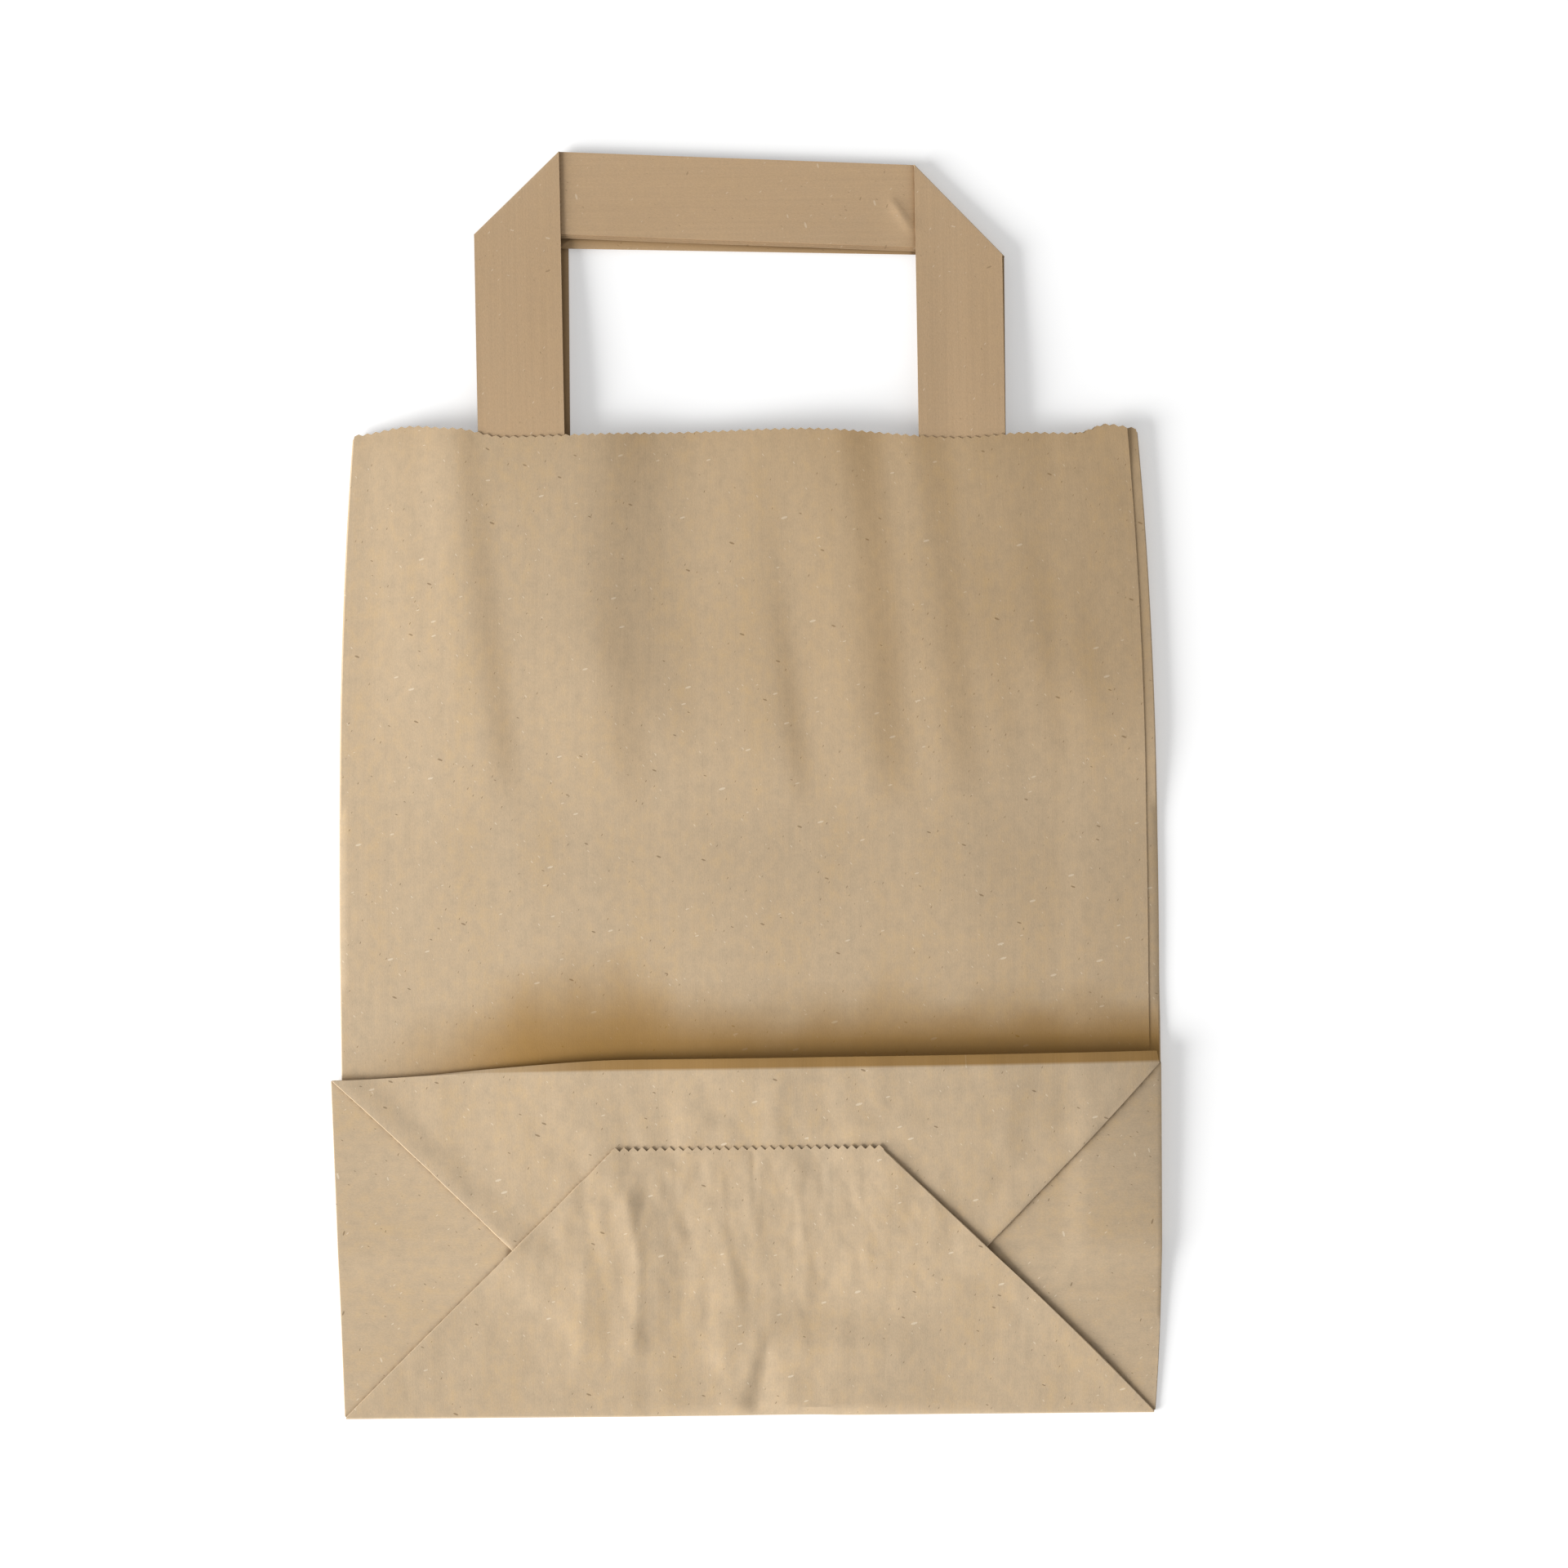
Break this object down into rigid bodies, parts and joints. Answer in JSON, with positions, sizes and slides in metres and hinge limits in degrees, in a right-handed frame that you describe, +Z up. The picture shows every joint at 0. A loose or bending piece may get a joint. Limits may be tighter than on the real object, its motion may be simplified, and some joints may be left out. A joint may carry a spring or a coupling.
{
  "type": "paper carrier bag",
  "caption": "Kraft-paper carrier bag folded flat, with flat tape handles at its mouth and its block bottom turned up over the front, closed by a saw-cut flap.",
  "frame": {"origin": "under the middle of the whole bag's box, on the surface that the back of the bag lies on", "axes": "+X across the bag to the viewer's right, +Y from the bottom fold towards the handles, +Z up from the surface, out of the front of the bag"},
  "size_m": [0.182, 0.2788, 0.0087],
  "materials": {
    "kraft_body": "unbleached ribbed kraft, matt",
    "kraft_tape": "folded kraft tape with fine ribs along it, matt",
    "kraft_patch": "plain kraft, matt"
  },
  "bodies": {
    "root": {"bag_body": "kraft_body", "rear_handle": "kraft_tape", "front_handle": "kraft_tape", "rear_handle_patch": "kraft_patch", "front_handle_patch": "kraft_patch"}
  },
  "joints": []
}
